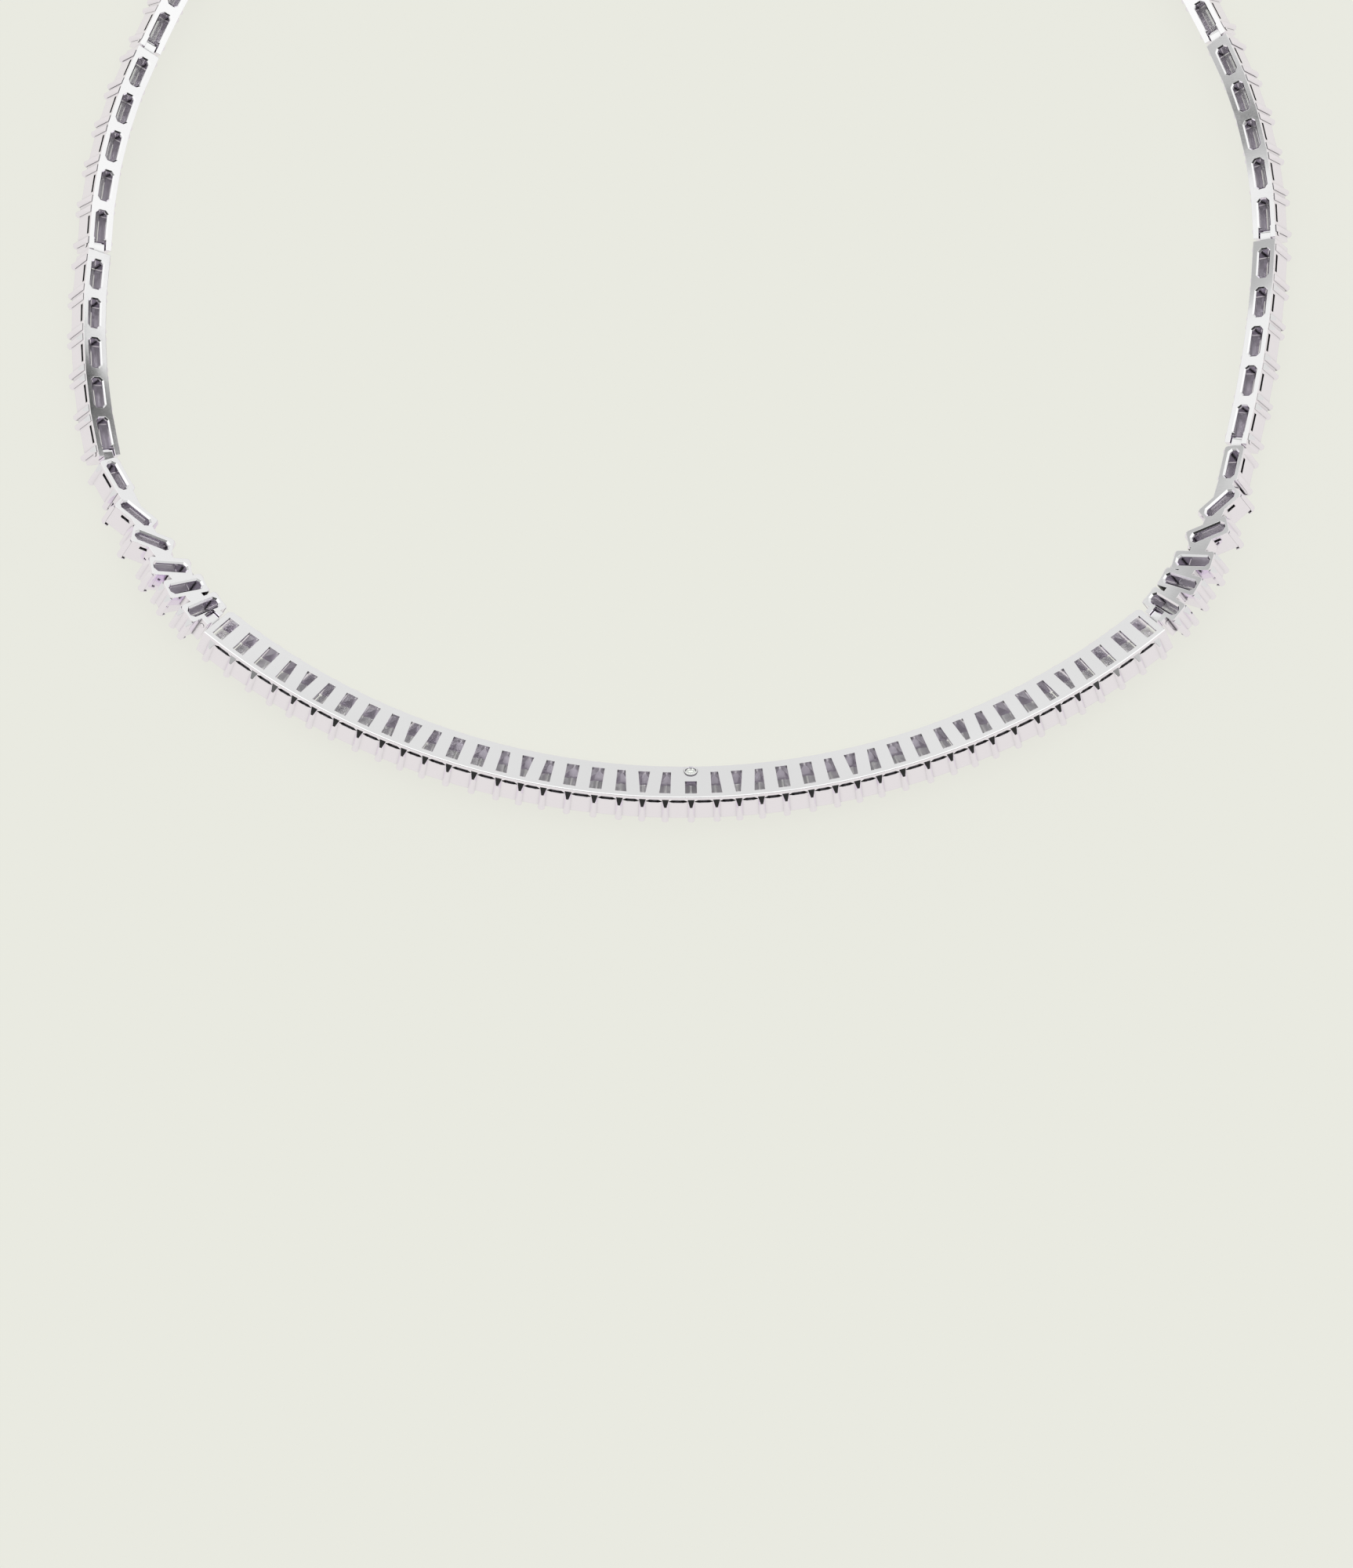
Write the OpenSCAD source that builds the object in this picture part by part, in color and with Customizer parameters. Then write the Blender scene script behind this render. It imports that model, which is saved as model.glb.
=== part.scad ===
// Riviere necklace of baguette stones in polished white metal, lying stones down on a surface.
// A rigid curved centre bar carries forty-three stones set across the line, tapered ones among them.
// On each side a rigid fan of six cells turns the stones from across the line to along it, and
// five hinged links of five stones lead to a plain box clasp. Millimetres, +Z up.
//
// Every piece is built in the same local frame on the route of the necklace: x runs along the
// route away from the middle of the bar, y points to the inside of the loop, and z = 0 is the
// back plate, with the stones on the side of -z. The frame is tilted about x, so that the band
// lies like a slice of a shallow bowl on the edge of its inner claws.

/* [Band] */
// Tilt of the band from lying flat, in degrees
tilt = 27; // [20:1:34]
// Thickness of the pierced back plate
plate_t = 0.4; // [0.35:0.05:0.6]
// Depth from the back plate to the rim that carries the stones
rim = 3; // [2.7:0.05:3.2]
// Thickness of the walls round the stones
wall = 0.42; // [0.35:0.01:0.5]
// Height of the groove that parts the plate from the walls
groove_h = 0.42; // [0.3:0.02:0.5]
// Depth of that groove
groove_d = 0.2; // [0.1:0.02:0.25]
// Width of the windows in the back plate of the links
win_w = 1.25; // [1:0.01:1.4]
// Width of the polished bevel round the windows of the links
win_bevel = 0.15; // [0.08:0.01:0.2]
// How far a corner of a window is cut back
win_corner = 0.3; // [0.2:0.02:0.4]

/* [Claws] */
// Width of a claw where it leaves its wall
claw_w = 0.76; // [0.6:0.02:0.9]
// Width of the front of a claw
claw_front = 0.26; // [0.2:0.02:0.4]
// How far a claw stands out from its wall
claw_proud = 0.3; // [0.26:0.01:0.4]
// Height of the sloped top of a claw on the outside of the loop
claw_slope = 0.9; // [0.6:0.05:1.1]
// Depth below the back plate at which the outer claws of the fan cells and the links begin
cell_claw_top = 0.25; // [0.2:0.05:0.5]
// Depth below the back plate at which the claws on the inside of the loop begin
inner_claw_top = 0.1; // [0.1:0.02:0.3]
// Height of their sloped top
inner_claw_slope = 0.2; // [0.1:0.02:0.5]
// Thickness of a claw tip over the stone
tip_t = 0.15; // [0.12:0.01:0.2]
// Reach of a claw tip over the stone
tip_l = 0.35; // [0.2:0.01:0.45]

/* [Stones] */
// Height of a stone above its girdle
crown_h = 0.16; // [0.12:0.01:0.25]
// Thickness of the girdle
girdle_t = 0.1; // [0.06:0.01:0.14]
// Depth of a stone below its girdle
pavilion_h = 1.3; // [1:0.05:1.4]
// Inset of the table from the girdle
table_in = 0.5; // [0.4:0.02:0.6]
// Gap between a stone and the metal round it
stone_gap = 0.03; // [0.02:0.01:0.05]
// Gap between neighbouring stones of the bar
stone_between = 0.12; // [0.1:0.01:0.2]
// Inset of the stone edge from the outside of the wall
stone_in = 0.28; // [0.24:0.01:0.32]

/* [Centre bar] */
// Radius of the middle line of the bar, seen from above
bar_r = 77.2; // [70:0.2:90]
// Width of the bar across its back plate
bar_w = 4.9; // [4.7:0.05:5.4]
// Width of the bevel along both edges of its back plate
bar_bevel = 0.08; // [0.05:0.01:0.12]
// Length of the windows of the bar
bar_win_l = 3.3; // [2.8:0.05:3.4]
// How far these windows lie off the middle of the plate, towards the outside of the loop
bar_win_out = 0.17; // [0:0.01:0.2]
// Length of the bar taken by a straight stone
straight_cell = 2.76; // [2.6:0.01:3]
// Length of the bar taken by a stone that is wide at the outside
outward_cell = 2.46; // [2.3:0.01:2.7]
// Length of the bar taken by a stone that is wide at the inside
inward_cell = 2.34; // [2.2:0.01:2.6]
// Length of the bar taken by the middle stone
middle_cell = 2.9; // [2.7:0.01:3.2]
// How much closer together the stones of the right half of the bar are set
right_closer = 0.024; // [0:0.002:0.04]
// Sideways run of the slanted side of a tapered stone
taper_run = 0.34; // [0.2:0.02:0.4]
// Metal between neighbouring windows of the bar
bar_web = 1.42; // [1.3:0.01:1.6]
// Groups of five stones on each side of the middle
bar_groups = 4; // [3:1:4]
// Bar beyond the middle of its last window
bar_tail = 1.45; // [1.4:0.05:1.8]
// Radius of the corners at the bar ends
bar_corner = 0.8; // [0.4:0.05:1.1]
// Length of the short window in the middle
short_win_l = 1.9; // [1.6:0.05:1.95]
// Width of that window
short_win_w = 1.26; // [1.1:0.02:1.4]

/* [Round stone] */
// Diameter of the small round stone in the back plate
round_d = 1.14; // [1:0.02:1.16]
// Depth of the small round stone below the back plate
round_h = 0.8; // [0.6:0.05:0.9]
// Wall of the collet that holds it
collet_t = 0.1; // [0.08:0.01:0.12]
// Height of the collet over the back plate
collet_h = 0.12; // [0.08:0.01:0.2]

/* [Fan sections] */
// Length of a fan section along the route
fan_l = 22.34; // [21.8:0.02:23]
// Long side of a fan cell
fan_cell_l = 4.75; // [4.6:0.05:4.9]
// Short side of a fan cell
fan_cell_w = 2.3; // [2.2:0.02:2.4]
// Width of the windows of the fan cells
fan_win_w = 1; // [0.9:0.02:1.1]
// Width of the polished bevel round them
fan_bevel = 0.2; // [0.15:0.01:0.22]
// Metal at each end of a fan window
fan_end = 0.5; // [0.45:0.01:0.6]
// Distance of the last fan cell from the end of its section
fan_tail = 0.09; // [0.05:0.01:0.12]
// Width of the necks that join the fan cells
neck_w = 1.9; // [1.4:0.05:2.2]
// Radius of the corners of the fan cells
fan_corner = 0.35; // [0.2:0.05:0.5]

/* [Links] */
// Distance between the stones of a link
pitch = 4.56; // [4.4:0.02:4.7]
// Stones in each link
link_stones = 5; // [4:1:5]
// Distance from the last stone of a link to the line of its hinge
link_tail = 2.81; // [2.75:0.01:3]
// Width of a link across its back plate
link_w = 2.65; // [2.5:0.05:2.8]
// Length of the windows of a link
link_win_l = 3.25; // [3:0.05:3.4]
// Distance of a claw from the end of its stone
claw_back = 0.52; // [0.45:0.01:0.6]

/* [Hinges] */
// Gap between neighbouring sections
section_gap = 0.26; // [0.24:0.01:0.3]
// Diameter of the hinge pins
pin_d = 0.5; // [0.4:0.02:0.6]
// Clearance round a hinge pin
pin_clear = 0.06; // [0.04:0.01:0.08]
// Distance of a pin from the line of its hinge
pin_in = 0.62; // [0.5:0.02:0.64]
// Depth of the pins below the back plate
pin_deep = 0.8; // [0.7:0.02:0.9]
// Width of a hinge lug
lug_w = 1.24; // [1:0.02:1.3]
// Thickness of a hinge lug
lug_t = 1.1; // [1:0.02:1.2]
// Clearance on each side of a hinge lug
lug_clear = 0.09; // [0.06:0.01:0.12]

/* [Clasp] */
// Length of the box clasp between the lines of its hinges
clasp_l = 13; // [11:0.5:15]
// Width of the box clasp
clasp_w = 2.9; // [2.6:0.05:3.2]
// Depth of the box clasp
clasp_h = 2.8; // [2.6:0.05:3]
// Radius of the corners of the box clasp
clasp_corner = 0.8; // [0.7:0.05:1.1]

/* [Hidden] */
$fn = 32;

// A little extra, so that a cut runs clear through and joined metal overlaps
extra = 0.05;
// More than any piece measures across
far = 12;
// A short overlap between a hinge lug and the end wall that it is soldered to
lug_root = 0.42;

// The route as laid: the headings in degrees at the start and the end of the fan section and of
// the two links above it, on each side. The heading is 0 at the middle of the bar, and 90 where
// the side of the loop runs straight up.
route_right = [[48, 83], [75, 88], [88, 116]];
route_left = [[45.5, 73], [76.5, 99], [91, 116]];
// The three links next to the clasp: turn from each to the next one, and bend within each
last_links = 3;
last_turn = 17;
last_link_turn = 14;
laid_links = len(route_right) - 1;
side_links = laid_links + last_links;

// Slope of the seat that a wall's rim has for the stone
seat_in = 0.22;
seat_h = 0.3;

link_l = (link_stones - 1) * pitch + 2 * link_tail;
stones_deep = rim + stone_gap;
table_z = stones_deep + girdle_t + crown_h;
tip_z = table_z + stone_gap;
depth = tip_z + tip_t;

// Height of the route over the surface for a band of a width, so that its claws touch the surface
function lift(w) = (w / 2 + claw_proud - tip_t / 2) * sin(tilt) + depth * cos(tilt);
bar_z = lift(bar_w);
link_z = lift(link_w);

// Stones of the bar, counted from the middle. Kind 0 is straight, 1 is wide at the outside and
// -1 is wide at the inside, in the order 1, -1, 1, 0, 0 out from the middle.
kinds = [0, 1, -1, 1, 0];
bar_last = len(kinds) * bar_groups + 1;
function kind(i) = i == 0 || i >= bar_last ? 0 : kinds[i % len(kinds)];
function closer(side) = side == "right" ? 1 - right_closer : 1;
function cell_l(side, i) =
    i == 0 ? middle_cell :
    closer(side) * (kind(i) > 0 ? outward_cell : kind(i) < 0 ? inward_cell : straight_cell);
function cell_at(side, i) =
    i == 0 ? 0 : cell_at(side, i - 1) + (cell_l(side, i - 1) + cell_l(side, i)) / 2;
// Which way the side of stone i next to stone j is slanted
function slant(i, j) = kind(i) * kind(j) < 0 ? kind(i) : 0;
function bar_half(side) = cell_at(side, bar_last) + bar_tail;
function bar_turn(s) = s / bar_r * 180 / PI;
function bar_at(s) = step(0, bar_turn(s), s, s);

// Fan cells from the bar to the links: share of the section's length, share of the cell length,
// and lean from the route in degrees on the left and on the right. The last cell, which carries
// the lug of the next hinge, is placed from the end of the section.
fan_at = 0;
fan_share = 1;
fan_lean_left = 2;
fan_lean_right = 3;
fan_rows = [
    [0.089, 1.04, 82, 92],
    [0.224, 1.03, 75, 85],
    [0.347, 1, 63, 75],
    [0.51, 1, 46, 53],
    [0.674, 0.97, 28, 35],
    [0.893, 0.915, 7, 0]
];
fan_last = len(fan_rows) - 1;
function fan_cell_long(i) = fan_rows[i][fan_share] * fan_cell_l;
function fan_lean(side, i) = fan_rows[i][side == "left" ? fan_lean_left : fan_lean_right];
function fan_place(i) =
    i == fan_last ? fan_l - section_gap / 2 - fan_tail - fan_cell_long(i) / 2
                  : fan_rows[i][fan_at] * fan_l;

// Steps along an arc of a length that turns from heading h0 to heading h1
function step(h0, h1, l, s) =
    abs(h1 - h0) < 0.01 ? s * [cos(h0), sin(h0)] :
    let (r = l / (h1 - h0) * 180 / PI, h = h0 + (h1 - h0) * s / l)
    r * [sin(h) - sin(h0), cos(h0) - cos(h)];

// Where a row of links comes to, from the first of their headings on
function reach(heads, from) =
    from >= len(heads) ? [0, 0] :
    let (h = heads[from]) step(h[0], h[1], link_l, link_l) + reach(heads, from + 1);
function laid_end(side, route) =
    bar_at(bar_half(side)) + step(route[0][0], route[0][1], fan_l, fan_l) + reach(route, 1);
laid_right = laid_end("right", route_right);
laid_left = laid_end("left", route_left);

// Above them the loop closes the plain way round. The last three links of each side stand on the
// straight lines that lean in, by the same angle, from the ends of the laid links to the clasp,
// which lies along the line between those ends.
laid_line = [-laid_left[0], laid_left[1]] - laid_right;
laid_lean = atan2(-laid_line[1], -laid_line[0]);
last_chord = norm(step(-last_link_turn / 2, last_link_turn / 2, link_l, link_l));
last_reach = last_chord * (1 + 2 * cos(last_turn));
last_rise = acos((norm(laid_line) - clasp_l) / 2 / last_reach);
function last_heads(lean) = [
    for (t = [-1, 0, 1])
    let (m = 180 + lean - last_rise + t * last_turn, half = last_link_turn / 2) [m - half, m + half]
];
heads_right = concat(route_right, last_heads(laid_lean));
heads_left = concat(route_left, last_heads(-laid_lean));
function heads(side) = side == "left" ? heads_left : heads_right;
function section_l(k) = k == 0 ? fan_l : link_l;
function start(side, k) =
    k == 0 ? bar_at(bar_half(side)) :
    let (h = heads(side)[k - 1]) start(side, k - 1) + step(h[0], h[1], section_l(k - 1), section_l(k - 1));

end_right = start("right", side_links + 1);
end_left = start("left", side_links + 1);

// The middle of the whole loop, from the outermost points of its claws and of its clasp
claw_low = depth - tip_t / 2;
band_out = (link_w / 2 + claw_proud) * cos(tilt) + claw_low * sin(tilt);
function edge(side, k, s) =
    let (h = heads(side)[k], a = h[0] + (h[1] - h[0]) * s / section_l(k))
    start(side, k) + step(h[0], h[1], section_l(k), s) + band_out * [sin(a), -cos(a)];
samples = [0, 0.1, 0.2, 0.3, 0.4, 0.5, 0.6, 0.7, 0.8, 0.9, 1];
function widest(side) = max([for (k = [1, 2], t = samples) edge(side, k, t * link_l)[0]]);
front_y = -(bar_w / 2 + claw_proud) * cos(tilt) - claw_low * sin(tilt);
back_y = (end_right[1] + end_left[1]) / 2 + clasp_w / 2 * cos(tilt) + clasp_h * sin(tilt);
centre = [(widest("right") - widest("left")) / 2, (front_y + back_y) / 2];

// Puts the loop round the origin
module laid() {
    translate([-centre[0], -centre[1], 0]) children();
}

module on(side) {
    if (side == "left") mirror([1, 0, 0]) children();
    else children();
}

// The local frame at a point of the route
module frame_at(p, z, heading, fall = 0) {
    translate([p[0], p[1], z]) rotate([0, 0, heading]) rotate([0, fall, 0]) rotate([-tilt, 0, 0])
        children();
}

// A section of the route above the bar is flat. Its own plane stands on the straight line between
// its two ends, and the fan section comes down from the height of the bar to that of the links.
module on_section(side, k) {
    a = start(side, k);
    line = start(side, k + 1) - a;
    z = k == 0 ? (bar_z + link_z) / 2 : link_z;
    fall = k == 0 ? atan2(bar_z - link_z, norm(line)) : 0;
    frame_at(a + line / 2, z, atan2(line[1], line[0]), fall) translate([-norm(line) / 2, 0, 0]) children();
}

// Heading of the middle line of a section against its own plane, at a distance along it
function section_turn(side, k) = heads(side)[k][1] - heads(side)[k][0];
function turn_at(side, k, s) = section_turn(side, k) * (s / section_l(k) - 0.5);
function place_at(side, k, s) =
    let (h = turn_at(side, k, 0)) step(h, -h, section_l(k), s);

// Within the plane of a section: x runs along its middle line at a distance from its start
module within(side, k, s) {
    p = place_at(side, k, s);
    translate([p[0], p[1], 0]) rotate([0, 0, turn_at(side, k, s)]) children();
}

// The local frame at a distance along the bar
module on_bar(s) {
    frame_at(bar_at(s), bar_z, bar_turn(s)) children();
}

// The local frame of the clasp, at the line of its hinge on a side
module at_clasp(side) {
    p = side == "left" ? end_left : end_right;
    frame_at(p, link_z, 180 + (side == "left" ? -laid_lean : laid_lean)) children();
}

// Solid in which two outlines cross: one in x and z, and one in y and z
module crossed(in_x, in_y) {
    intersection() {
        rotate([90, 0, 0]) linear_extrude(2 * far, center = true) polygon(in_x);
        rotate([90, 0, 90]) linear_extrude(2 * far, center = true) polygon(in_y);
    }
}

// Outline, symmetrical about z, from pairs of a half width and a height that go upwards
function both_sides(steps) = concat(
    [for (p = steps) [p[0], p[1]]],
    [for (i = [len(steps) - 1 : -1 : 0]) [-steps[i][0], steps[i][1]]]
);

// Half width of the keel of a stone, and the inset of its ends from the ends of the girdle
keel_w = 0.09;
keel_in = 0.95;
// Inset and depth share of the edge between the two steps of the pavilion, and of the one between
// the two steps of the crown
mid_in = 0.36;
mid_share = 0.45;
step_in = 0.22;
step_share = 0.55;

// One side of a step cut: half width and height, from the table up to the keel
function cut_steps(a, keel) = [
    [a - table_in, -table_z],
    [a - step_in, -(stones_deep + girdle_t + step_share * crown_h)],
    [a, -(stones_deep + girdle_t)],
    [a, -stones_deep],
    [a - mid_in, -(stones_deep - mid_share * pavilion_h)],
    [keel, -(stones_deep - pavilion_h)]
];

// A straight step-cut stone, long in y
module step_stone(w, l) {
    crossed(both_sides(cut_steps(w / 2, keel_w)), both_sides(cut_steps(l / 2, l / 2 - keel_in)));
}

// A stone of the bar, with its sides slanted by a share of the run each
module bar_stone(w, l, low, high) {
    intersection() {
        rotate([90, 0, 90]) linear_extrude(2 * far, center = true)
            polygon(both_sides(cut_steps(l / 2, l / 2 - keel_in)));
        for_side(w, l, high);
        mirror([1, 0, 0]) for_side(w, l, low);
    }
}

// Everything on the inner side of one long side of a stone
module for_side(w, l, turn) {
    steps = cut_steps(w / 2, keel_w);
    top = steps[len(steps) - 1];
    translate([w / 2, 0, 0]) rotate([0, 0, atan2(turn * taper_run, l)]) translate([-w / 2, 0, 0])
        rotate([90, 0, 0]) linear_extrude(2 * far, center = true)
            polygon(concat([[-far, -table_z]], steps, [[-far, top[1]]]));
}

// Cuts a window with a bevelled edge and corners cut back
module window(l_x, l_y, bevel) {
    across = (l_x / 2 + l_y / 2 - win_corner) / sqrt(2);
    function through(a) = both_sides([[a, -rim], [a, -bevel], [a + bevel, 0], [a + bevel, extra]]);
    intersection() {
        crossed(through(l_x / 2), through(l_y / 2));
        rotate([0, 0, 45]) crossed(through(across), through(across));
    }
}

// Cuts the hollow below a window, with a sloped seat for the stone
module hollow(l_x, l_y) {
    function funnel(a) = both_sides([
        [a + seat_in, -rim - extra], [a + seat_in, -rim], [a, -rim + seat_h], [a, -plate_t]
    ]);
    crossed(funnel(l_x / 2), funnel(l_y / 2));
}

// A claw on the outside of a wall whose face is y = 0 and whose outside is the side of -y. It
// narrows to its front, its top slopes down from a depth below the back plate, and its tip lies
// over the stone.
module claw(top, slope) {
    back = stone_in + tip_l;
    intersection() {
        translate([0, 0, -depth]) linear_extrude(depth) polygon([
            [-claw_w / 2, 0], [-claw_front / 2, -claw_proud], [claw_front / 2, -claw_proud],
            [claw_w / 2, 0], [claw_w / 2, back], [-claw_w / 2, back]
        ]);
        rotate([90, 0, 90]) linear_extrude(2 * claw_w, center = true) polygon([
            [-claw_proud, -depth + tip_t / 2], [-claw_proud, -top - slope], [0, -top],
            [wall / 2, -top], [wall / 2, -rim + extra], [stone_in - stone_gap, -rim + extra],
            [stone_in - stone_gap, -tip_z], [back, -tip_z],
            [back, -depth], [-claw_proud + tip_t / 2, -depth]
        ]);
    }
}

// Claws on both long sides of a band of a width
module claw_pair(w, top) {
    translate([0, -w / 2, 0]) claw(top, claw_slope);
    mirror([0, 1, 0]) translate([0, -w / 2, 0]) claw(inner_claw_top, inner_claw_slope);
}

// The centre bar

// Outline of the bar across the route, in y and z
bar_profile = let (a = bar_w / 2, b = bar_w / 2 - wall, e = bar_bevel) [
    [a - e, 0], [a, -e], [a, -rim], [b + seat_in, -rim], [b, -rim + seat_h], [b, -plate_t],
    [-b, -plate_t], [-b, -rim + seat_h], [-b - seat_in, -rim], [-a, -rim], [-a, -e], [-a + e, 0]
];
bar_flats = 180;
module bar_sweep() {
    left = bar_turn(bar_half("left") - section_gap / 2);
    right = bar_turn(bar_half("right") - section_gap / 2);
    translate([0, bar_r, bar_z]) rotate([0, 0, -90 - left])
        rotate_extrude(angle = left + right, $fn = bar_flats)
            polygon([
                for (p = bar_profile)
                [bar_r - p[0] * cos(tilt) - p[1] * sin(tilt), -p[0] * sin(tilt) + p[1] * cos(tilt)]
            ]);
}

// A window of the bar, tapered as the stone below it
module bar_window(side, i) {
    w = cell_l(side, i) - bar_web;
    low = slant(i, i - 1) * taper_run / 2;
    high = slant(i, i + 1) * taper_run / 2;
    l = bar_win_l / 2;
    translate([0, -bar_win_out, -rim]) linear_extrude(rim + extra)
        polygon([[w / 2 - high, l], [w / 2 + high, -l], [-w / 2 - low, -l], [-w / 2 + low, l]]);
}

// The grooves between two neighbouring claws of the bar, on both of its sides. Towards the claws they
// taper over a length to a point, at a share of their height, so that the plate's edge is scalloped.
groove_point = 0.65;
groove_taper = 0.5;
module bar_grooves(side, i) {
    from = cell_at(side, i - 1);
    to = cell_at(side, i);
    a = (to - from) / 2 - claw_front;
    point = [a, -plate_t - groove_point * groove_h];
    top = [a - groove_taper, -plate_t];
    low = [a - groove_taper, -plate_t - groove_h];
    on_bar((from + to) / 2) for (b = [0, 1]) mirror([0, b, 0])
        translate([0, groove_d - bar_w / 2, 0]) rotate([90, 0, 0]) linear_extrude(bar_w)
            polygon([point, top, [-top[0], top[1]], [-point[0], point[1]], [-low[0], low[1]], low]);
}

// Rounds a corner at an end of the bar, at the origin, with the metal on the side of -x and -y.
// The round is a little fuller than the corner, and meets its sides at a slight angle.
corner_full = 0.02;
module corner_cut(r) {
    translate([-r, -r, -depth - extra]) linear_extrude(depth + 2 * extra) difference() {
        square(r + far / 4);
        circle(r + corner_full);
    }
}

module end_corners(w, r) {
    translate([0, w / 2, 0]) corner_cut(r);
    mirror([0, 1, 0]) translate([0, w / 2, 0]) corner_cut(r);
}

// Middle of the short window, and of the collet, which stands near the inner edge of the plate
short_win_y = -bar_win_out - (bar_win_l - short_win_l) / 2;
collet_r = round_d / 2 + stone_gap + collet_t;
round_y = bar_w / 2 - bar_bevel - collet_r - stone_gap;
round_seat = 0.2;

module centre_bar() {
    color("gainsboro") laid() {
        difference() {
            union() {
                bar_sweep();
                on_bar(0) translate([0, round_y, -plate_t / 2])
                    cylinder(r = collet_r, h = plate_t / 2 + collet_h);
            }
            for (side = ["left", "right"]) on(side) {
                for (i = [1 : bar_last]) {
                    on_bar(cell_at(side, i)) bar_window(side, i);
                    bar_grooves(side, i);
                }
                on_bar(bar_half(side) - section_gap / 2) end_corners(bar_w, bar_corner);
            }
            on_bar(0) {
                translate([-short_win_w / 2, short_win_y - short_win_l / 2, -rim])
                    cube([short_win_w, short_win_l, rim + extra]);
                translate([0, round_y, -rim]) cylinder(d = round_d - 2 * girdle_t, h = rim + extra);
                translate([0, round_y, -round_seat])
                    cylinder(r = collet_r - collet_t, h = round_seat + collet_h + extra);
            }
        }
        for (side = ["left", "right"]) on(side) {
            for (i = [1 : bar_last]) on_bar(cell_at(side, i)) claw_pair(bar_w, plate_t);
            lug_to(side, 0);
        }
        on_bar(0) claw_pair(bar_w, plate_t);
    }
}

bar_stone_l = bar_w - 2 * stone_in;
module centre_stones() {
    color("aliceblue") laid() {
        for (side = ["left", "right"]) on(side) for (i = [1 : bar_last])
            on_bar(cell_at(side, i))
                bar_stone(cell_l(side, i) - stone_between, bar_stone_l, slant(i, i - 1), slant(i, i + 1));
        on_bar(0) step_stone(middle_cell - stone_between, bar_stone_l);
    }
}

// The small round stone, table up, in its collet in the back plate: thickness of its girdle, height
// of its crown, share of its table, diameter of its culet, and facets round it
round_rim = 0.08;
round_crown = 0.24;
round_table = 0.58;
round_culet = 0.12;
round_sides = 12;
module round_stone() {
    r = round_d / 2;
    low = round_seat - stone_gap;
    high = round_rim + round_crown - low;
    color("white") laid() on_bar(0) translate([0, round_y, 0])
        rotate_extrude($fn = round_sides) polygon([
            [0, -round_h], [round_culet / 2, -round_h], [r - 2 * girdle_t, -low], [r, -low],
            [r, round_rim - low], [r * round_table, high], [0, high]
        ]);
}

// Hinges

// The lug of the section below, in the frame of the section above
module lug() {
    difference() {
        union() {
            translate([-lug_root, -lug_w / 2, -pin_deep - lug_t / 2])
                cube([lug_root + pin_in, lug_w, lug_t]);
            translate([pin_in, 0, -pin_deep]) rotate([90, 0, 0])
                cylinder(d = lug_t, h = lug_w, center = true);
        }
        translate([pin_in, 0, -pin_deep]) rotate([90, 0, 0])
            cylinder(d = pin_d + 2 * pin_clear, h = lug_w + 2 * extra, center = true);
    }
}

// The lug that reaches into section k of a side, or into the clasp
module lug_to(side, k) {
    if (k > side_links) at_clasp(side) lug();
    else on_section(side, k) within(side, k, 0) lug();
}

slot_w = lug_w + 2 * lug_clear;
slot_l = pin_in + lug_t / 2 + lug_clear;
slot_h = pin_deep + lug_t / 2 + lug_clear;
module lug_slot() {
    translate([-far / 4, -slot_w / 2, -slot_h]) cube([far / 4 + slot_l, slot_w, slot_h + extra]);
}

pin_proud = 0.04;
module hinge_pin(w) {
    translate([pin_in, 0, -pin_deep]) rotate([90, 0, 0])
        cylinder(d = pin_d, h = w + 2 * pin_proud, center = true);
}

// The fan sections, in the plane of the section

module fan_cell_at(side, i) {
    within(side, 0, fan_place(i)) rotate([0, 0, -fan_lean(side, i)]) children();
}

module rounded_block(l, w, r, h) {
    translate([0, 0, -h]) linear_extrude(h) difference() {
        square([l, w], center = true);
        for (a = [0, 1], b = [0, 1]) mirror([a, 0]) mirror([0, b])
            translate([l / 2 - r, w / 2 - r]) difference() {
                square(2 * r);
                circle(r);
            }
    }
}

// A groove below the plate on both long sides
module grooves(l, w) {
    for (b = [0, 1]) mirror([0, b, 0])
        translate([-l / 2, w / 2 - groove_d, -plate_t - groove_h]) cube([l, groove_d + extra, groove_h]);
}

fan_ear_l = fan_place(0) - fan_cell_w / 2 + wall;
neck_h = 1.7;
// The cells before this one stand side by side, and have no groove where it wouldn't show
first_grooved = 3;
module fan_necks(side) {
    for (j = [1 : fan_last]) {
        a = place_at(side, 0, fan_place(j - 1));
        b = place_at(side, 0, fan_place(j));
        translate([a[0], a[1], 0]) rotate([0, 0, atan2(b[1] - a[1], b[0] - a[0])])
            translate([0, -neck_w / 2, -neck_h]) cube([norm(b - a), neck_w, neck_h]);
    }
}

// Claws at both ends of a fan cell. The last cell lies along the route and has them on its sides.
module fan_claws(l, on_sides) {
    for (a = [-1, 1])
        if (on_sides) translate([a * (l / 2 - claw_back), 0, 0]) claw_pair(fan_cell_w, cell_claw_top);
        else for (b = [-1, 1])
            translate([a * l / 2, b * (fan_cell_w - claw_w) / 2, 0]) rotate([0, 0, a * 90])
                claw(a < 0 ? inner_claw_top : cell_claw_top, a < 0 ? inner_claw_slope : claw_slope);
}

// Room for the stone of a fan cell, which the claws of the cells beside it stay out of
module stone_room(l, w) {
    inset = stone_in - stone_gap / 2;
    low = tip_z - stone_gap / 2;
    translate([inset - l / 2, inset - w / 2, -low]) cube([l - 2 * inset, w - 2 * inset, low - plate_t]);
}

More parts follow.
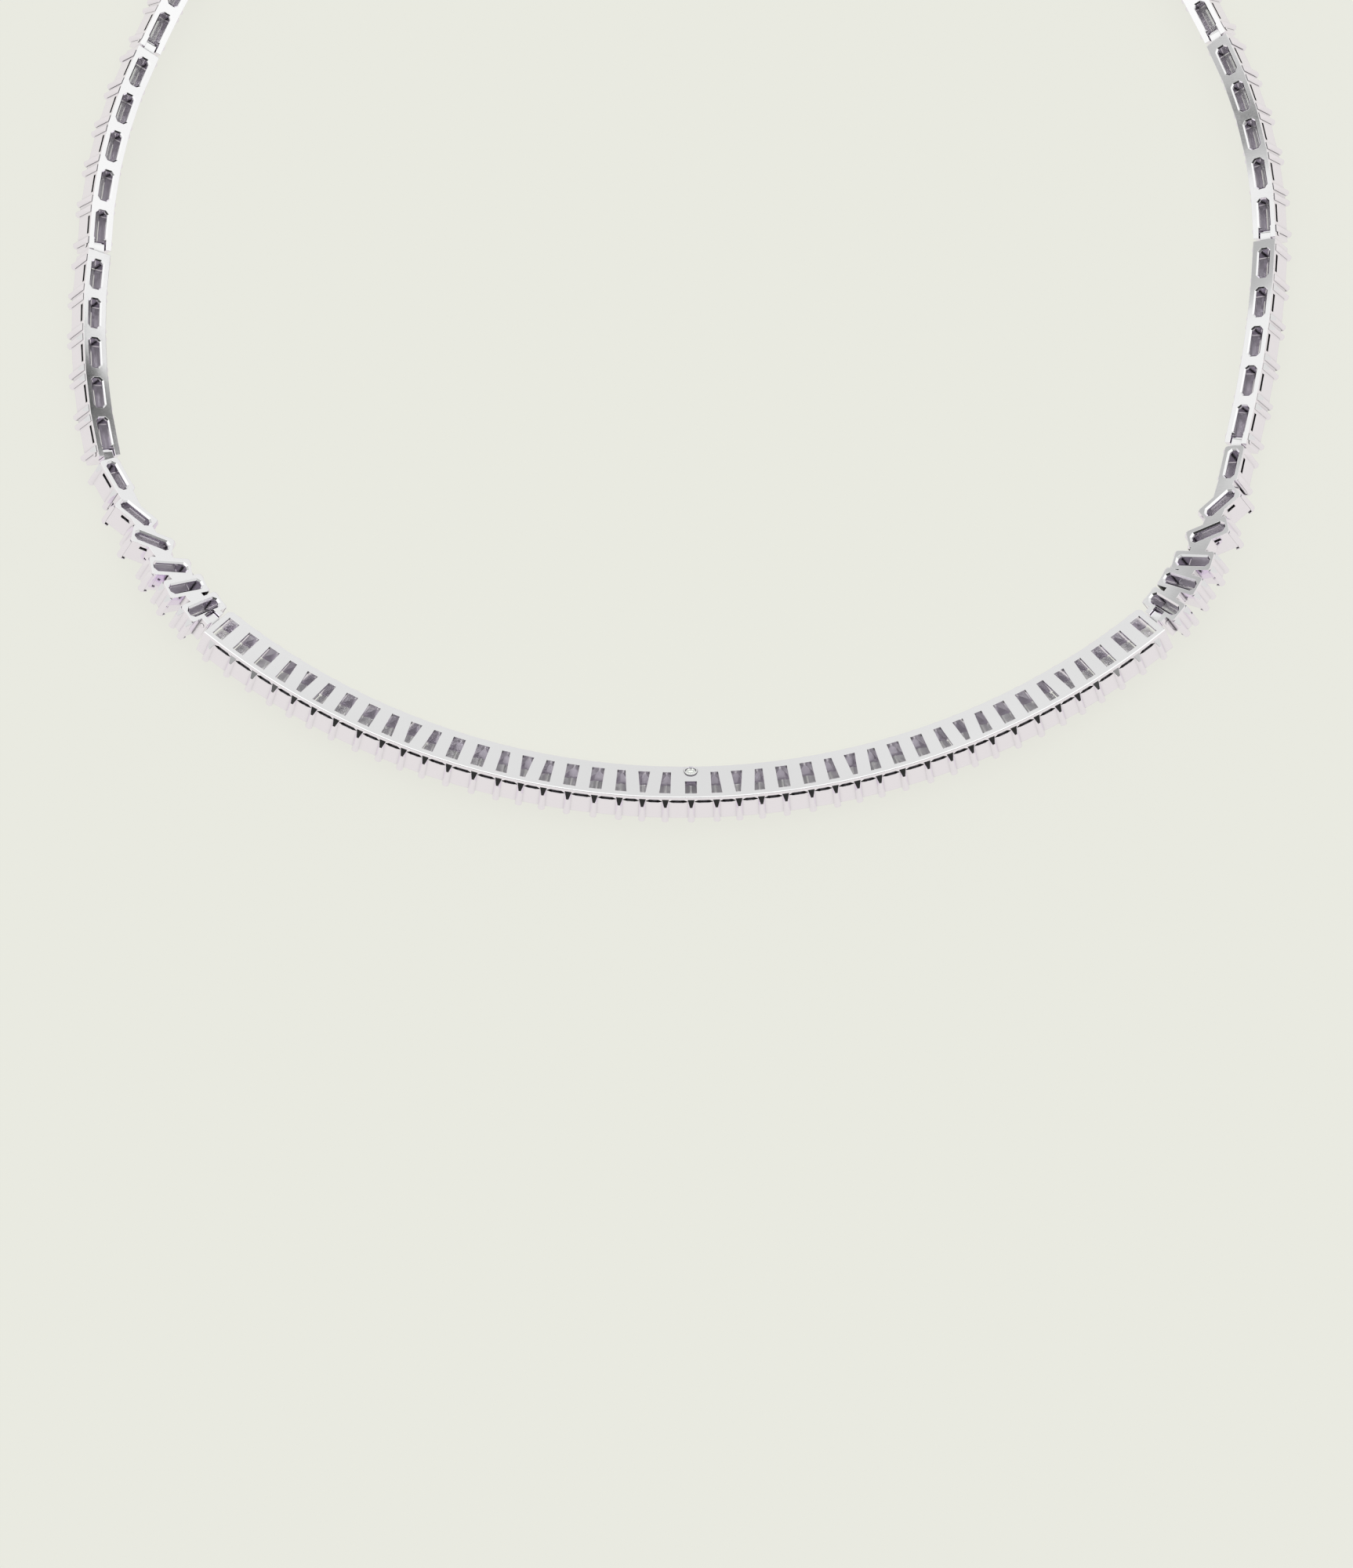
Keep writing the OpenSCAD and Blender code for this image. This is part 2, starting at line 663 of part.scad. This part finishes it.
module fan(side) {
    color("gainsboro") laid() on(side) {
        on_section(side, 0) {
            difference() {
                union() {
                    for (i = [0 : fan_last]) fan_cell_at(side, i) difference() {
                        rounded_block(fan_cell_long(i), fan_cell_w, fan_corner, rim);
                        if (i >= first_grooved)
                            grooves(fan_cell_long(i) - 2 * (claw_back + claw_w), fan_cell_w);
                    }
                    fan_necks(side);
                    within(side, 0, 0) translate([section_gap / 2, -link_w / 2, -rim])
                        cube([fan_ear_l, link_w, rim]);
                }
                for (i = [0 : fan_last]) fan_cell_at(side, i) {
                    window(fan_cell_long(i) - 2 * fan_end, fan_win_w, fan_bevel);
                    hollow(fan_cell_long(i) - 2 * wall, fan_cell_w - 2 * wall);
                }
                within(side, 0, 0) lug_slot();
            }
            difference() {
                for (i = [0 : fan_last]) fan_cell_at(side, i) fan_claws(fan_cell_long(i), i == fan_last);
                for (i = [0 : fan_last]) fan_cell_at(side, i) stone_room(fan_cell_long(i), fan_cell_w);
            }
            within(side, 0, 0) hinge_pin(link_w);
        }
        lug_to(side, 1);
    }
}

module fan_stones(side) {
    color("aliceblue") laid() on(side) on_section(side, 0) for (i = [0 : fan_last])
        fan_cell_at(side, i) rotate([0, 0, 90])
            step_stone(fan_cell_w - 2 * stone_in, fan_cell_long(i) - 2 * stone_in);
}

// The links, each in the plane of its section

function stone_at(j) = link_tail + (j - 1) * pitch;

// Outline of a link: its middle line, moved by half of its width to one side and the other
function link_edge(side, k, out) = [
    for (s = concat([section_gap / 2], [for (j = [1 : link_stones - 1]) stone_at(j) + pitch / 2],
                    [link_l - section_gap / 2]))
    let (h = turn_at(side, k, s)) place_at(side, k, s) + out * [sin(h), -cos(h)]
];
function back_to_front(list) = [for (i = [len(list) - 1 : -1 : 0]) list[i]];

module link(side, k) {
    color("gainsboro") laid() on(side) {
        on_section(side, k) {
            difference() {
                translate([0, 0, -rim]) linear_extrude(rim) polygon(concat(
                    link_edge(side, k, link_w / 2), back_to_front(link_edge(side, k, -link_w / 2))
                ));
                for (j = [1 : link_stones]) within(side, k, stone_at(j)) {
                    window(link_win_l, win_w, win_bevel);
                    hollow(pitch - 2 * wall, link_w - 2 * wall);
                    grooves(pitch - 2 * (claw_back + claw_w), link_w);
                }
                within(side, k, 0) lug_slot();
            }
            for (j = [1 : link_stones]) within(side, k, stone_at(j)) for (a = [-1, 1])
                translate([a * (pitch / 2 - claw_back), 0, 0]) claw_pair(link_w, cell_claw_top);
            within(side, k, 0) hinge_pin(link_w);
        }
        lug_to(side, k + 1);
    }
}

module link_stones_of(side, k) {
    color("aliceblue") laid() on(side) on_section(side, k) for (j = [1 : link_stones])
        within(side, k, stone_at(j)) rotate([0, 0, 90])
            step_stone(link_w - 2 * stone_in, pitch - 2 * stone_in);
}

// The clasp

module box_clasp() {
    color("gainsboro") laid() {
        difference() {
            at_clasp("right") translate([clasp_l / 2, 0, 0])
                rounded_block(clasp_l - section_gap, clasp_w, clasp_corner, clasp_h);
            for (side = ["left", "right"]) on(side) at_clasp(side) lug_slot();
        }
        for (side = ["left", "right"]) on(side) at_clasp(side) hinge_pin(clasp_w);
    }
}

module fan_left() fan("left");
module fan_right() fan("right");
module fan_left_stones() fan_stones("left");
module fan_right_stones() fan_stones("right");
module link_left_1() link("left", 1);
module link_left_2() link("left", 2);
module link_left_3() link("left", 3);
module link_left_4() link("left", 4);
module link_left_5() link("left", 5);
module link_right_1() link("right", 1);
module link_right_2() link("right", 2);
module link_right_3() link("right", 3);
module link_right_4() link("right", 4);
module link_right_5() link("right", 5);
module link_left_1_stones() link_stones_of("left", 1);
module link_left_2_stones() link_stones_of("left", 2);
module link_left_3_stones() link_stones_of("left", 3);
module link_left_4_stones() link_stones_of("left", 4);
module link_left_5_stones() link_stones_of("left", 5);
module link_right_1_stones() link_stones_of("right", 1);
module link_right_2_stones() link_stones_of("right", 2);
module link_right_3_stones() link_stones_of("right", 3);
module link_right_4_stones() link_stones_of("right", 4);
module link_right_5_stones() link_stones_of("right", 5);

centre_bar();
centre_stones();
round_stone();
fan_left();
fan_left_stones();
fan_right();
fan_right_stones();
link_left_1();
link_left_1_stones();
link_right_1();
link_right_1_stones();
link_left_2();
link_left_2_stones();
link_right_2();
link_right_2_stones();
link_left_3();
link_left_3_stones();
link_right_3();
link_right_3_stones();
link_left_4();
link_left_4_stones();
link_right_4();
link_right_4_stones();
link_left_5();
link_left_5_stones();
link_right_5();
link_right_5_stones();
box_clasp();
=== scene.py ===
"""Riviere necklace in polished white gold, lying stones down on a pale surface, seen from its back."""

import bmesh
import bpy
import numpy as np
from mathutils import Matrix, Vector


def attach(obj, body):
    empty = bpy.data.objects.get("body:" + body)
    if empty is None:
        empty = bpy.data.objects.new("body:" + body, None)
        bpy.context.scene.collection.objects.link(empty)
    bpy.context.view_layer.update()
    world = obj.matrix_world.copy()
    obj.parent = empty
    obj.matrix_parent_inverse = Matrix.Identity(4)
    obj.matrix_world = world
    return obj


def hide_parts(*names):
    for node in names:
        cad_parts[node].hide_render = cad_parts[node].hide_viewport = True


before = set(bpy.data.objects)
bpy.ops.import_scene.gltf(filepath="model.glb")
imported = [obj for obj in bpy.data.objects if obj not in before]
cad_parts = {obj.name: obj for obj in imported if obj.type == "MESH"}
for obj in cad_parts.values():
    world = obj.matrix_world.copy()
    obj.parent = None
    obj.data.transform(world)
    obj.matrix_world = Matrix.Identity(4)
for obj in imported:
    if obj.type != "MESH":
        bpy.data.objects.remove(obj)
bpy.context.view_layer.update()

# The metal
# Every setting is white gold, cast, filed and brought to a mirror polish by hand. The polish leaves
# the flats very slightly bowed, the edges rounded over, and hairlines from the last buffing.

MM = 0.001
# The metal's own colour, and the near black painted into its hollows as shade
WHITE_GOLD, RECESS_SHADE = (0.94, 0.885, 0.98), (0.02, 0.018, 0.02)
POLISH, HAIR_ROUGHNESS = 0.05, 0.05
BOW, BOW_SCALE = 0.8 * MM, 45
PILLOW, PILLOW_SCALE = 0.02 * MM, 170
HAIRLINE, HAIR_SCALE, HAIR_SQUEEZE = 0.0004 * MM, 2600, (1, 5, 2)
# How far, and with how many rays, the painted shade looks for metal closing in
HOLLOW_REACH, HOLLOW_SAMPLES = 0.5 * MM, 8
# How open a place is where its painted shade starts to lift, where it is grey and how bright
# it is there, and where it has its full colour
DARK_OPEN, GREY_OPEN, GREY, FULL_OPEN = 0.5, 0.72, 0.72, 0.9
EDGE, EDGE_SAMPLES = 0.06 * MM, 6
CREASE, WELD = np.radians(17.5), 0.0005 * MM


class Wire:
    """An output of a shader node. Arithmetic on wires and numbers adds the Math nodes for it."""

    def __init__(self, tree, socket=None):
        self.tree = tree
        self.socket = socket

    def node(self, kind, settings, sockets, output=0):
        """Adds a node: its settings are made first, a ramp's stops among them, then its sockets."""
        made = self.tree.nodes.new(kind)
        for name, value in settings.items():
            if name == "stops":
                elements = made.color_ramp.elements
                elements.remove(elements[1])
                elements[0].position, elements[0].color = value[0]
                for place, colour in value[1:]:
                    elements.new(place).color = colour
            else:
                setattr(made, name, value)
        for name, value in sockets.items():
            if isinstance(value, Wire):
                self.tree.links.new(value.socket, made.inputs[name])
            else:
                made.inputs[name].default_value = value
        return Wire(self.tree, made.outputs[output])

    def math(self, operation, *values):
        return self.node("ShaderNodeMath", {"operation": operation}, dict(enumerate(values)))

    def __add__(self, other):
        return self.math("ADD", self, other)

    def __radd__(self, other):
        return self.math("ADD", other, self)

    def __sub__(self, other):
        return self.math("SUBTRACT", self, other)

    def __rsub__(self, other):
        return self.math("SUBTRACT", other, self)

    def __mul__(self, other):
        return self.math("MULTIPLY", self, other)

    def __rmul__(self, other):
        return self.math("MULTIPLY", other, self)

    def feed(self, shader, name):
        """Links this wire to a socket of a shader."""
        self.tree.links.new(self.socket, shader.inputs[name])


def material(name):
    """A new material and its Principled shader."""
    made = bpy.data.materials.new(name)
    made.use_nodes = True
    return made, made.node_tree.nodes["Principled BSDF"]


def polished_gold(name, colour, recess_shade, polish):
    """Mirror metal. Its edges are rounded over. Two slow noises, over centimetres and over
    millimetres, bend its normal as on a hand-polished flat, and a fine squeezed noise lies across it
    as buffing hairlines and changes its roughness a little. Where the metal closes in on itself its
    colour is darkened to near black: painted shade, set by how open the place is."""
    made, shader = material(name)
    shader.inputs["Metallic"].default_value = 1
    add = Wire(made.node_tree)
    place = add.node("ShaderNodeTexCoord", {}, {}, "Object")
    bow = add.node("ShaderNodeTexNoise", {}, {"Vector": place, "Scale": BOW_SCALE, "Detail": 0}, "Fac")
    pillow = add.node(
        "ShaderNodeTexNoise", {}, {"Vector": place, "Scale": PILLOW_SCALE, "Detail": 1}, "Fac"
    )
    # Painted shade: the base colour goes from near black to full by how open the place is (ambient
    # occlusion)
    openness = add.node(
        "ShaderNodeAmbientOcclusion",
        {"samples": HOLLOW_SAMPLES, "only_local": True},
        {"Distance": HOLLOW_REACH},
        "AO",
    )
    grey = [GREY * c for c in colour]
    stops = [(DARK_OPEN, (*recess_shade, 1)), (GREY_OPEN, (*grey, 1)), (FULL_OPEN, (*colour, 1))]
    shaded_colour = add.node("ShaderNodeValToRGB", {"stops": stops}, {"Fac": openness}, "Color")
    shaded_colour.feed(shader, "Base Color")
    squeezed = add.node(
        "ShaderNodeVectorMath", {"operation": "MULTIPLY"}, {0: place, 1: HAIR_SQUEEZE}, "Vector"
    )
    hairs = add.node(
        "ShaderNodeTexNoise", {}, {"Vector": squeezed, "Scale": HAIR_SCALE, "Detail": 3}, "Fac"
    )
    (polish + HAIR_ROUGHNESS * hairs).feed(shader, "Roughness")
    rounded = add.node("ShaderNodeBevel", {"samples": EDGE_SAMPLES}, {"Radius": EDGE}, "Normal")
    relief = bow * BOW + pillow * PILLOW + hairs * HAIRLINE
    waves = add.node(
        "ShaderNodeBump", {}, {"Strength": 1, "Distance": 1, "Height": relief, "Normal": rounded}, "Normal"
    )
    waves.feed(shader, "Normal")
    return made


white_gold = polished_gold("white_gold_polished", WHITE_GOLD, RECESS_SHADE, POLISH)


def polished_copy(node):
    """A copy of a metal node with its loose triangles joined, smooth but for the creases of its design."""
    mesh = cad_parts[node].data.copy()
    body = bmesh.new()
    body.from_mesh(mesh)
    bmesh.ops.remove_doubles(body, verts=body.verts, dist=WELD)
    for face in body.faces:
        face.smooth = True
    for edge in body.edges:
        edge.smooth = edge.calc_face_angle(np.pi) < CREASE
    body.to_mesh(mesh)
    body.free()
    mesh.materials.clear()
    mesh.materials.append(white_gold)
    piece = bpy.data.objects.new(node + "_polished", mesh)
    bpy.context.scene.collection.objects.link(piece)
    flats = piece.modifiers.new("flats", "WEIGHTED_NORMAL")
    flats.keep_sharp = True
    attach(piece, "root")
    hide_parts(node)


for node in [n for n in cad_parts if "stone" not in n]:
    polished_copy(node)

# The stones
# Baguette diamonds, step cut. Each lies table down in its cell between claws, so the windows of the
# back plate show its pavilion.

# The stones' colour, which also tints their painted glow, how clear they are, and how strong that painted
# glow is
DIAMOND, DIAMOND_CLEAR, DIAMOND_PAINTED_GLOW = (0.9, 0.88, 0.91), 0.5, 0.03
REFRACTIVE_INDEX = 2.417


def stone_material(name, colour, clear, painted_glow):
    """Diamond. What isn't clear in it is the light that its facets scatter, and a painted glow, an
    even emission in its own colour, stands in for the light that comes through it from its face."""
    made, shader = material(name)
    shader.inputs["Base Color"].default_value = (*colour, 1)
    shader.inputs["Roughness"].default_value = 0
    shader.inputs["IOR"].default_value = REFRACTIVE_INDEX
    shader.inputs["Transmission Weight"].default_value = clear
    # Painted light: an even glow in the stone's own colour
    shader.inputs["Emission Color"].default_value = (*colour, 1)
    shader.inputs["Emission Strength"].default_value = painted_glow
    return made


diamond = stone_material("diamond", DIAMOND, DIAMOND_CLEAR, DIAMOND_PAINTED_GLOW)
for node in [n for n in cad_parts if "stone" in n]:
    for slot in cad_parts[node].material_slots:
        slot.material = diamond

# The round stone
# A small brilliant, table up, in the collet on the back of the bar. It is cut with an eight-sided
# table, stars, kites and halves above its girdle, and mains and halves below.

# The round stone's colour, which also tints its painted glow, how clear it is, and how strong that painted
# glow is
BRILLIANT, BRILLIANT_CLEAR, BRILLIANT_PAINTED_GLOW = (1, 1, 1), 1, 0.05
BACK_TILT = np.radians(27)
SIDES = 8
TABLE, STAR, MAIN = 0.55, 0.8, 0.22
GIRDLE, PAVILION = 0.03 * MM, np.radians(40)
# Corners of the solid that are this share of its radius out, or more, are its girdle's
GIRDLE_OUT = 0.99
axis = np.array((0, np.sin(BACK_TILT), np.cos(BACK_TILT)))
across = np.array((1, 0, 0))
ahead = np.cross(axis, across)


def round_brilliant(corners):
    """A brilliant in the place of a round solid, from the corners of that solid. Each ring of corners
    is the middle + radius * (cos turn * across + sin turn * ahead) + height * axis, and the kites and
    the mains are flat: their inner corners lie on the plane from the girdle to the table or culet."""
    middle = corners.mean(axis=0)
    heights = (corners - middle) @ axis
    out = np.linalg.norm(corners - middle - np.outer(heights, axis), axis=1)
    radius = out.max()
    rim = heights[out > GIRDLE_OUT * radius].max()
    crown = heights.max() - rim
    deep = radius * np.tan(PAVILION)
    half_step = np.cos(np.pi / SIDES)

    def ring(count, first, share, height):
        turn = 2 * np.pi * (np.arange(count) + first) / count
        flat = np.outer(np.cos(turn), across) + np.outer(np.sin(turn), ahead)
        return middle + share * radius * flat + height * axis

    points = np.concatenate([
        ring(SIDES, 0, TABLE, rim + crown),
        ring(SIDES, 0.5, STAR, rim + crown * (1 - STAR * half_step) / (1 - TABLE)),
        ring(2 * SIDES, 0, 1, rim),
        ring(2 * SIDES, 0, 1, rim - GIRDLE),
        ring(SIDES, 0.5, MAIN, rim - GIRDLE - deep * (1 - MAIN * half_step)),
        ring(1, 0, 0, rim - GIRDLE - deep),
    ])
    table, star, upper, lower, main, culet = (SIDES * n for n in (0, 1, 2, 4, 6, 7))
    faces = [tuple(range(table, star))]
    for k in range(SIDES):
        here, between, past = 2 * k, 2 * k + 1, (2 * k + 2) % (2 * SIDES)
        before, after = (k - 1) % SIDES, (k + 1) % SIDES
        faces += [
            (table + k, star + k, table + after),
            (table + k, star + before, upper + here, star + k),
            (star + k, upper + here, upper + between),
            (star + k, upper + between, upper + past),
            (upper + here, lower + here, lower + between, upper + between),
            (upper + between, lower + between, lower + past, upper + past),
            (main + k, lower + between, lower + here),
            (main + k, lower + past, lower + between),
            (lower + here, main + before, culet, main + k),
        ]
    return points, faces


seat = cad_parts["round_stone"].data
points, faces = round_brilliant(np.array([v.co for v in seat.vertices]))
brilliant_mesh = bpy.data.meshes.new("round_brilliant")
brilliant_mesh.from_pydata(points.tolist(), [], faces)
brilliant_mesh.materials.append(stone_material("brilliant", BRILLIANT, BRILLIANT_CLEAR, BRILLIANT_PAINTED_GLOW))
brilliant = bpy.data.objects.new("round_brilliant", brilliant_mesh)
bpy.context.scene.collection.objects.link(brilliant)
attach(brilliant, "root")
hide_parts("round_stone")

# The surface that the necklace lies on
# A pale matt sheet, 6 m each way, that reaches past every view. It is lit from within as well as by
# the tent, so that the necklace throws hardly any shadow on it.

REACH = 3.0
SHEET, SHEET_LIGHT, SHEET_STRENGTH = (0.1, 0.1, 0.092), (1, 1, 0.925), 0.73
SHEET_ROUGHNESS, SHEET_SPECULAR = 0.9, 0.1
floor_mesh = bpy.data.meshes.new("sheet")
floor_mesh.from_pydata(
    [(-REACH, -REACH, 0), (REACH, -REACH, 0), (REACH, REACH, 0), (-REACH, REACH, 0)], [], [(0, 1, 2, 3)]
)
floor = bpy.data.objects.new("sheet", floor_mesh)
bpy.context.scene.collection.objects.link(floor)
sheet, shader = material("pale_sheet")
shader.inputs["Base Color"].default_value = (*SHEET, 1)
shader.inputs["Emission Color"].default_value = (*SHEET_LIGHT, 1)
shader.inputs["Emission Strength"].default_value = SHEET_STRENGTH
shader.inputs["Roughness"].default_value = SHEET_ROUGHNESS
shader.inputs["Specular IOR Level"].default_value = SHEET_SPECULAR
floor_mesh.materials.append(sheet)

# The light
# A white tent all round, brighter towards its top, with one wide dark opening low in front, below the
# camera. The smaller openings, dark or grey, are what a few of the links and fans mirror.

TENT = (0.9415, 1, 0.903)
# The height of the direction and the strength of the light, low down and high up
LOW, LOW_GLOW, HIGH, HIGH_GLOW = 0.25, 0.81, 0.9, 1.2
# Each opening's darkness, azimuth and elevation, and the angles of its inner and outer edge
OPENINGS = (
    (0.96, 180, 10, 42, 54),
    (0.96, 64, 25, 8.2, 8.7),
    (0.45, -46, 29, 5.2, 6.2),
    (0.45, -53, 26, 4.8, 5.8),
    (0.45, -80, 39, 3.8, 4.8),
    (0.9, -77.3, 36.8, 0.3, 1),
)
world = bpy.data.worlds.new("tent")
bpy.context.scene.world = world
world.use_nodes = True
tent = Wire(world.node_tree)
background = world.node_tree.nodes["Background"]
direction = tent.node("ShaderNodeTexCoord", {}, {}, "Generated")


def opening(azimuth, elevation, inner, outer):
    """1 within the inner angle of a direction, falling smoothly to 0 at the outer angle. Azimuth 0 is
    towards +Y, and 90 is towards +X."""
    a, e = np.radians(azimuth), np.radians(elevation)
    towards = (np.sin(a) * np.cos(e), np.cos(a) * np.cos(e), np.sin(e))
    near = tent.node(
        "ShaderNodeVectorMath", {"operation": "DOT_PRODUCT"}, {0: direction, 1: towards}, "Value"
    )
    return tent.node(
        "ShaderNodeMapRange",
        {"interpolation_type": "SMOOTHSTEP"},
        {
            "Value": near,
            "From Min": float(np.cos(np.radians(outer))),
            "From Max": float(np.cos(np.radians(inner))),
        },
    )


height = tent.node("ShaderNodeSeparateXYZ", {}, {0: direction}, "Z")
light = tent.node(
    "ShaderNodeMapRange",
    {},
    {"Value": height, "From Min": LOW, "From Max": HIGH, "To Min": LOW_GLOW, "To Max": HIGH_GLOW},
)
for darkness, azimuth, elevation, inner, outer in OPENINGS:
    light = light * (1 - darkness * opening(azimuth, elevation, inner, outer))
light.feed(background, "Strength")
background.inputs["Color"].default_value = (*TENT, 1)

# The camera
# It looks down on the back of the necklace from in front, through a long lens from far away.

PICTURE = (1726, 2000)
PIXELS_PER_MM = 11.83
AZIMUTH, ELEVATION = np.radians(-0.606), np.radians(70)
LENS, SENSOR = 1200, 36
NEAREST, FARTHEST = 0.1, 100
# The centre of the bar's arc, and its place in the picture
ARC_CENTRE = Vector((0.6415, 12.0321, 4.3062)) * MM
ARC_CENTRE_PIXEL = (871.6, 139)
back = Vector(
    (np.sin(AZIMUTH) * np.cos(ELEVATION), -np.cos(AZIMUTH) * np.cos(ELEVATION), np.sin(ELEVATION))
)
right = Vector((np.cos(AZIMUTH), np.sin(AZIMUTH), 0))
up = back.cross(right)
aim = (
    ARC_CENTRE
    - right * (ARC_CENTRE_PIXEL[0] - PICTURE[0] / 2) / PIXELS_PER_MM * MM
    - up * (PICTURE[1] / 2 - ARC_CENTRE_PIXEL[1]) / PIXELS_PER_MM * MM
)
distance = PICTURE[1] / PIXELS_PER_MM * MM * LENS / SENSOR
camera = bpy.data.objects.new("camera", bpy.data.cameras.new("camera"))
bpy.context.scene.collection.objects.link(camera)
camera.data.lens = LENS
camera.data.sensor_width = SENSOR
camera.data.clip_start = NEAREST
camera.data.clip_end = FARTHEST
turned = Matrix((right, up, back)).transposed().to_4x4()
camera.matrix_world = Matrix.Translation(aim + back * distance) @ turned
bpy.context.scene.camera = camera
bpy.context.scene.view_settings.view_transform = "Standard"
